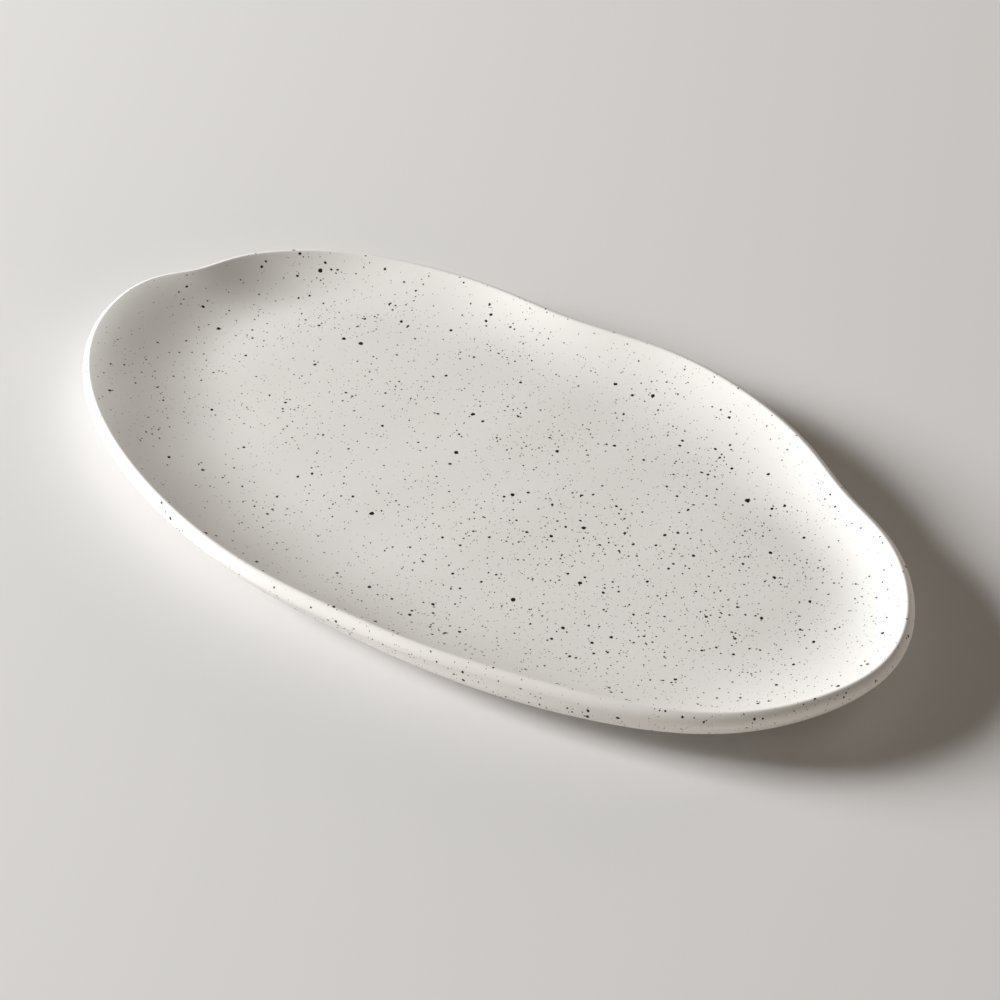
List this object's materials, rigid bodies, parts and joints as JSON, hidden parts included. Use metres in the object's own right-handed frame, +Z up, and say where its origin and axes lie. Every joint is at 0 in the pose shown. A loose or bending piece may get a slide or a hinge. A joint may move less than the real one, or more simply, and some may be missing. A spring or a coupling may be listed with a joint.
{
  "type": "serving platter",
  "caption": "Oval stoneware serving platter with a shallow flat well, a broad flared wall, a thick wavy rim and a foot ring.",
  "frame": {"origin": "centre of the platter's box, on the surface that it stands on", "axes": "+X along the length, +Y across the width towards the edge with the three dips, +Z up out of the well"},
  "size_m": [0.4198, 0.2266, 0.025],
  "materials": {
    "fired_stoneware": "bare fired clay, fine sandy grain, matt",
    "speckled_glaze": "satin off-white glaze with dark iron specks",
    "base_glaze": "satin off-white glaze with dark iron specks"
  },
  "bodies": {
    "root": {"stoneware_body": "fired_stoneware", "face_glaze": "speckled_glaze", "base_glaze": "base_glaze"}
  },
  "joints": []
}
